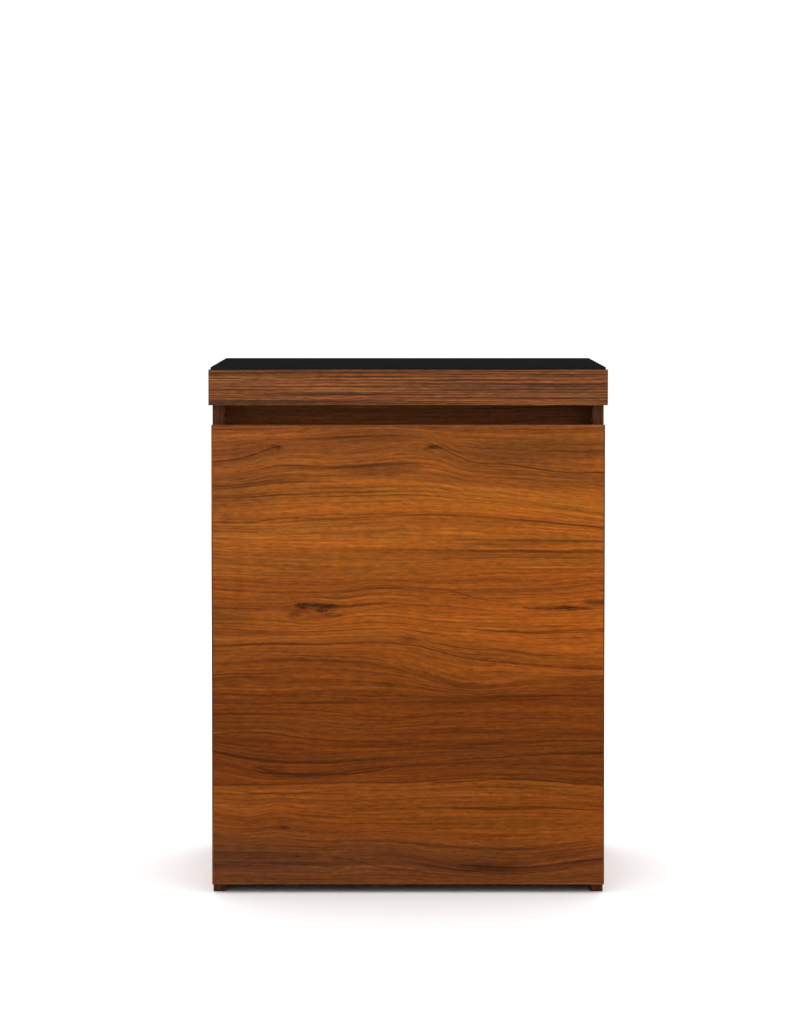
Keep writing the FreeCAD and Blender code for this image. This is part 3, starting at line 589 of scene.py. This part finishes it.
def foam(name):
    """Black closed-cell foam: small round cells, some of them open."""
    surface = Surface(name)
    cells = surface.node("ShaderNodeTexVoronoi", feature="SMOOTH_F1")
    surface.feed(cells.inputs["Vector"], surface.position)
    surface.feed(cells.inputs["Scale"], 900)
    cloud = surface.streaks(surface.x, surface.y, 18, 18, 3, 3)
    colour = surface.ramp(cells.outputs["Distance"], [(0.1, srgb(12, 12, 13)), (0.6, srgb(30, 30, 32))])
    colour = surface.shade(colour, surface.span(cloud, 0.3, 0.7, 0.85, 1.15))
    return surface.finish(colour, 0.9, surface.bump(cells.outputs["Distance"], 0.0002, 0.7), 0.0)


def beech(name):
    """The fibres of beech dowels."""
    surface = Surface(name)
    fibres = surface.streaks(surface.x, surface.z, 60, 700, 4, 3)
    colour = surface.ramp(fibres, [(0.3, srgb(205, 166, 120)), (0.7, srgb(168, 122, 78))])
    return surface.finish(colour, 0.7, surface.bump(fibres, 0.0001, 0.5), 0.2)


def clear_rubber(name):
    """Cloudy, half clear silicone."""
    surface = Surface(name)
    cloud = surface.streaks(surface.x, surface.z, 300, 300, 8, 2)
    colour = surface.ramp(cloud, [(0.3, srgb(226, 226, 222)), (0.7, srgb(206, 206, 200))])
    return surface.finish(colour, 0.25, None, 0.5, Transmission_Weight=0.6)


def dress_fittings():
    hinges = [name for name in nodes if name.startswith("hinge_")]
    screws = [name for name in hinges if "screw" in name or "pins" in name]
    bodies = [name for name in hinges if name not in screws]
    dress(bodies, metal("nickel_plate", srgb(196, 194, 188), 0.28, 3))
    dress(screws, metal("zinc_plate", srgb(176, 176, 172), 0.36, 9))
    dress(["cam_locks", "cam_bolts", "shelf_pins"],
          metal("zinc_cast", srgb(162, 162, 160), 0.42, 15))
    dress(["cam_cover_caps"], plastic("cap_plastic", srgb(84, 48, 26), 0.5, 5))
    dress(["cable_grommet"], plastic("grommet_plastic", srgb(26, 26, 27), 0.45, 7))
    dress(["dowels"], beech("beech"))
    dress(["door_bumpers"], clear_rubber("bumper_rubber"))


MAT_CORNER = 4 * MM
MAT_RIM = 0.8 * MM


def foam_mat():
    """The foam mat: a thin sheet with rounded corners and soft edges."""
    low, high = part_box("levelling_mat")
    mesh = bpy.data.meshes.new("foam_mat")
    shape = bmesh.new()
    bmesh.ops.create_cube(shape, size=1.0)
    middle = (low + high) / 2
    size = high - low
    for vertex in shape.verts:
        vertex.co = middle + Vector((vertex.co.x * size.x, vertex.co.y * size.y, vertex.co.z * size.z))
    corners = [edge for edge in shape.edges
               if abs(edge.verts[0].co.z - edge.verts[1].co.z) >= 0.5 * size.z]
    bmesh.ops.bevel(shape, geom=corners, offset=MAT_CORNER, segments=4, affect="EDGES", profile=0.5)
    rims = [edge for edge in shape.edges
            if abs(edge.verts[0].co.z - edge.verts[1].co.z) < 1e-6 and len(edge.link_faces) == 2
            and abs(edge.link_faces[0].normal.z - edge.link_faces[1].normal.z) > 0.5]
    bmesh.ops.bevel(shape, geom=rims, offset=MAT_RIM, segments=3, affect="EDGES", profile=0.5)
    shape.to_mesh(mesh)
    shape.free()
    mesh.materials.append(foam("closed_cell_foam"))
    piece = bpy.data.objects.new("foam_mat", mesh)
    bpy.context.scene.collection.objects.link(piece)
    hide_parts("levelling_mat")
    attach(piece, "cabinet")


# ------------------------------------------------------------------ stage, light, camera


SKY_STRENGTH = 1.08


def stage():
    """A pale floor under a white sky."""
    surface = Surface("floor")
    cloud = surface.streaks(surface.x, surface.y, 0.7, 0.7, 2, 2)
    colour = surface.ramp(cloud, [(0.2, (0.93, 0.93, 0.93, 1)), (0.8, (0.95, 0.95, 0.95, 1))])
    material = surface.finish(colour, 0.7, None, 0.0)
    half = 12
    mesh = bpy.data.meshes.new("floor")
    corners = [(-half, -half, 0), (half, -half, 0), (half, half, 0), (-half, half, 0)]
    mesh.from_pydata(corners, [], [(0, 1, 2, 3)])
    mesh.materials.append(material)
    floor = bpy.data.objects.new("floor", mesh)
    bpy.context.scene.collection.objects.link(floor)
    floor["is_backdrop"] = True
    world = bpy.data.worlds.new("sky")
    world.use_nodes = True
    background = world.node_tree.nodes["Background"]
    background.inputs["Color"].default_value = (1, 1, 1, 1)
    background.inputs["Strength"].default_value = SKY_STRENGTH
    bpy.context.scene.world = world
    bpy.context.scene.view_settings.view_transform = "Standard"


def area_light(name, place, target, size, power):
    light = bpy.data.lights.new(name, "AREA")
    light.shape = "RECTANGLE"
    light.size, light.size_y = size
    light.energy = power
    item = bpy.data.objects.new(name, light)
    item.location = place
    item.rotation_euler = (Vector(target) - Vector(place)).to_track_quat("-Z", "Y").to_euler()
    bpy.context.scene.collection.objects.link(item)


def lights():
    area_light("key", (-0.5, -3.8, 2.9), (0, 0, 0.5), (2.4, 1.6), 50)
    area_light("fill", (1.6, -3.4, 1.7), (0, 0, 0.4), (1.6, 1.6), 18)
    area_light("back", (0, 2.8, 3.0), (0, 0.6, 0), (3.2, 2.0), 60)


# Metres from the stand's front and above the floor, degrees down, millimetres of lens and sensor.
CAMERA_DISTANCE = 5.52
CAMERA_HEIGHT = 0.969
CAMERA_SIDE = -0.0124
CAMERA_TILT = 2.5
CAMERA_SHIFT = -0.0926
LENS = 128.1
SENSOR_HEIGHT = 36


def camera():
    """A long lens above the stand, looking a little down, with the frame shifted down to it."""
    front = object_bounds()[0][1]
    data = bpy.data.cameras.new("camera")
    data.sensor_fit = "VERTICAL"
    data.sensor_height = SENSOR_HEIGHT
    data.lens = LENS
    data.shift_y = CAMERA_SHIFT
    data.clip_end = 60
    eye = bpy.data.objects.new("camera", data)
    eye.location = (CAMERA_SIDE, front - CAMERA_DISTANCE, CAMERA_HEIGHT)
    eye.rotation_euler = (math.radians(90 - CAMERA_TILT), 0, 0)
    bpy.context.scene.collection.objects.link(eye)
    bpy.context.scene.camera = eye


dress_boards()
dress_fittings()
foam_mat()
stage()
lights()
camera()
